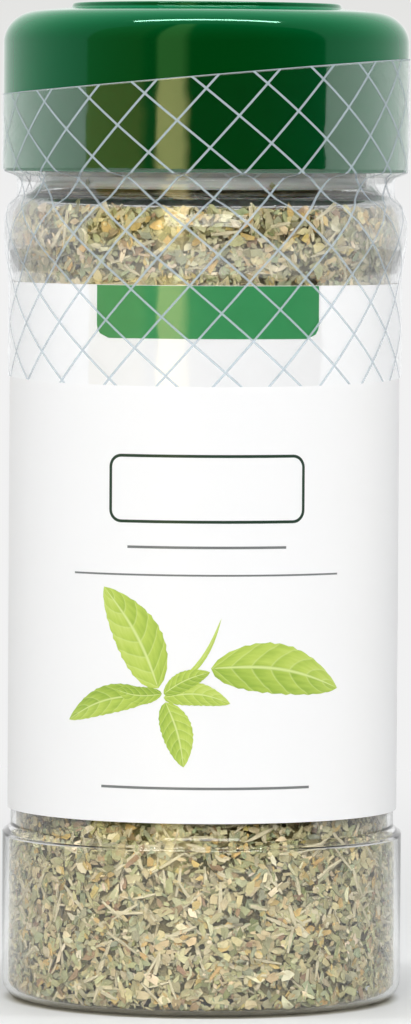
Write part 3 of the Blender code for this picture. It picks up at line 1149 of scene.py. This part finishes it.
def make_surroundings():
    """A light tent: bright sides, top and back, open at the front onto a dim room with one warm lit wall."""
    world = bpy.data.worlds.new("light_tent")
    bpy.context.scene.world = world
    world.use_nodes = True
    tree = world.node_tree
    tree.nodes.clear()
    axes = add_node(tree, "SeparateXYZ", {"Vector": add_node(tree, "TexCoord").outputs["Generated"]}).outputs
    forward = math_node(tree, "MULTIPLY", axes["Y"], -1.0)
    sideways = math_node(tree, "ABSOLUTE", axes["X"])
    side_room = math_node(tree, "SUBTRACT", math_node(tree, "MULTIPLY", forward, 3.0), sideways)
    top_room = math_node(tree, "SUBTRACT", math_node(tree, "MULTIPLY", forward, 2.7), axes["Z"])
    room = math_node(tree, "MINIMUM", side_room, top_room)
    opening = add_node(tree, "MapRange", {"Value": room, "From Min": 0.0, "From Max": 0.04}).outputs["Result"]
    bearing = math_node(tree, "DIVIDE", axes["X"], math_node(tree, "MAXIMUM", forward, 0.05))
    warm = ramp(
        tree,
        math_node(tree, "MULTIPLY_ADD", bearing, 0.2, 0.6),
        (0.0, (0.45, 0.36, 0.10)),
        (0.44, (0.40, 0.33, 0.10)),
        (0.47, (0.03, 0.05, 0.03)),
        (0.49, (0.03, 0.05, 0.03)),
        (0.50, (2.3, 1.87, 0.78)),
        (0.55, (2.15, 1.75, 0.74)),
        (0.57, (0.012, 0.012, 0.012)),
    )
    tent = add_node(
        tree,
        "MapRange",
        {"Value": axes["Z"], "From Min": -0.2, "From Max": 1.0, "To Min": 1.15, "To Max": 0.48},
    ).outputs["Result"]
    bright = add_node(tree, "CombineColor", {0: tent, 1: tent, 2: tent}).outputs[0]
    path = add_node(tree, "LightPath").outputs
    front = mix_colour(tree, path["Is Diffuse Ray"], warm, (0.10, 0.10, 0.11, 1))
    around = mix_colour(tree, opening, bright, front)
    height = add_node(tree, "MapRange", {"Value": axes["Z"], "From Min": -0.012, "From Max": 0.02}).outputs[0]
    backdrop = mix_colour(tree, height, (0.885, 0.885, 0.885, 1), (0.78, 0.78, 0.765, 1))
    seen = mix_colour(tree, path["Is Camera Ray"], around, backdrop)
    background = add_node(tree, "Background", {"Color": seen, "Strength": 1.0})
    output = add_node(tree, "OutputWorld")
    tree.links.new(background.outputs[0], output.inputs["Surface"])


def area_light(name, width, height, place, aim, power, mirrored):
    data = bpy.data.lights.new(name, "AREA")
    data.shape = "RECTANGLE"
    data.size, data.size_y = width, height
    data.energy = power
    light = bpy.data.objects.new(name, data)
    light.location = place
    light.rotation_euler = (Vector(aim) - Vector(place)).to_track_quat("-Z", "Y").to_euler()
    light.visible_glossy = mirrored
    bpy.context.scene.collection.objects.link(light)
    return light


def make_studio():
    make_surroundings()
    area_light("top_strip", 0.36, 0.025, (0.0, -0.03, 0.50), (0.0, -0.03, 0.0), 1.5, True)
    area_light("front_fill", 0.9, 0.6, (0.0, -1.0, 0.55), (0.0, 0.0, 0.05), 9.9, False)
    material, tree, shader = start_material("pale_card", Roughness=0.55)
    patches, _ = add_grain(tree, 8.0, 200.0, 0.2)
    pale = mix_colour(tree, patches, (0.66, 0.67, 0.67, 1), (0.68, 0.69, 0.69, 1))
    # A painted contact shadow: the card's colour darkens in a ring under the heel
    spot = add_node(tree, "TexCoord").outputs["Object"]
    reach = add_node(tree, "VectorMath", {0: spot}, operation="LENGTH").outputs["Value"]
    clear = add_node(
        tree,
        "MapRange",
        {"Value": reach, "From Min": 20.6 * MM, "From Max": 22.3 * MM, "To Min": 1.0, "To Max": 0.0},
        interpolation_type="SMOOTHSTEP",
    ).outputs["Result"]
    tree.links.new(mix_colour(tree, clear, pale, (0.28, 0.26, 0.21, 1)), shader.inputs["Base Color"])
    # Behind the jar the floor runs evenly lit into the backdrop
    place = add_node(tree, "SeparateXYZ", {"Vector": add_node(tree, "TexCoord").outputs["Object"]}).outputs
    far = add_node(
        tree,
        "MapRange",
        {"Value": place["Y"], "From Min": 0.02, "From Max": 0.3},
        interpolation_type="SMOOTHSTEP",
    ).outputs["Result"]
    path = add_node(tree, "LightPath").outputs
    seen = math_node(tree, "MAXIMUM", path["Is Camera Ray"], path["Is Transmission Ray"])
    far = math_node(tree, "MULTIPLY", far, seen)
    glow = add_node(tree, "Emission", {"Color": (0.885, 0.885, 0.885, 1)})
    mixed = add_node(tree, "MixShader", {0: far, 1: shader.outputs[0], 2: glow.outputs[0]})
    tree.links.new(mixed.outputs[0], tree.nodes["Material Output"].inputs["Surface"])
    for name, size, place, mirrored in (
        ("card", (1.2, 1.37), (0.0, 0.315, 0.0), True),
        ("floor", (16.0, 16.0), (0.0, 0.0, -0.0003), False),
    ):
        deselect()
        bpy.ops.mesh.primitive_plane_add(size=1.0, location=place)
        sheet = bpy.context.object
        sheet.name = name
        sheet.scale = (*size, 1.0)
        settle(sheet)
        sheet.data.materials.append(material)
        sheet.visible_glossy = mirrored


def make_camera():
    data = bpy.data.cameras.new("camera")
    data.lens = 259.8
    data.sensor_width = 36.0
    data.clip_start = 0.05
    data.clip_end = 60.0
    camera = bpy.data.objects.new("camera", data)
    camera.location = (0.0002, -0.815, 0.0941)
    aim = Vector((0.0002, 0.0, 0.0537))
    turn = (aim - camera.location).to_track_quat("-Z", "Y").to_matrix()
    camera.rotation_euler = (turn @ Matrix.Rotation(math.radians(0.36), 3, "Z")).to_euler()
    bpy.context.scene.collection.objects.link(camera)
    bpy.context.scene.camera = camera


make_camera()
make_studio()
bpy.context.scene.view_settings.view_transform = "Standard"

make_jar()
make_cap()
make_liner()
make_sifter()
make_label()
make_header_tab()
dark_ink = flat_ink("dark_green_ink", (0.012, 0.035, 0.02))
grey_ink = flat_ink("grey_ink", (0.16, 0.17, 0.17))
make_name_frame(dark_ink)
make_rule("rule_short", 17.6 * MM, 0.28 * MM, 50.9 * MM, grey_ink)
make_rule("rule_long", 31.0 * MM, 0.20 * MM, 47.9 * MM, grey_ink)
make_rule("rule_foot", 23.6 * MM, 0.28 * MM, 24.9 * MM, grey_ink)
make_sprig()
make_fill()
make_band()
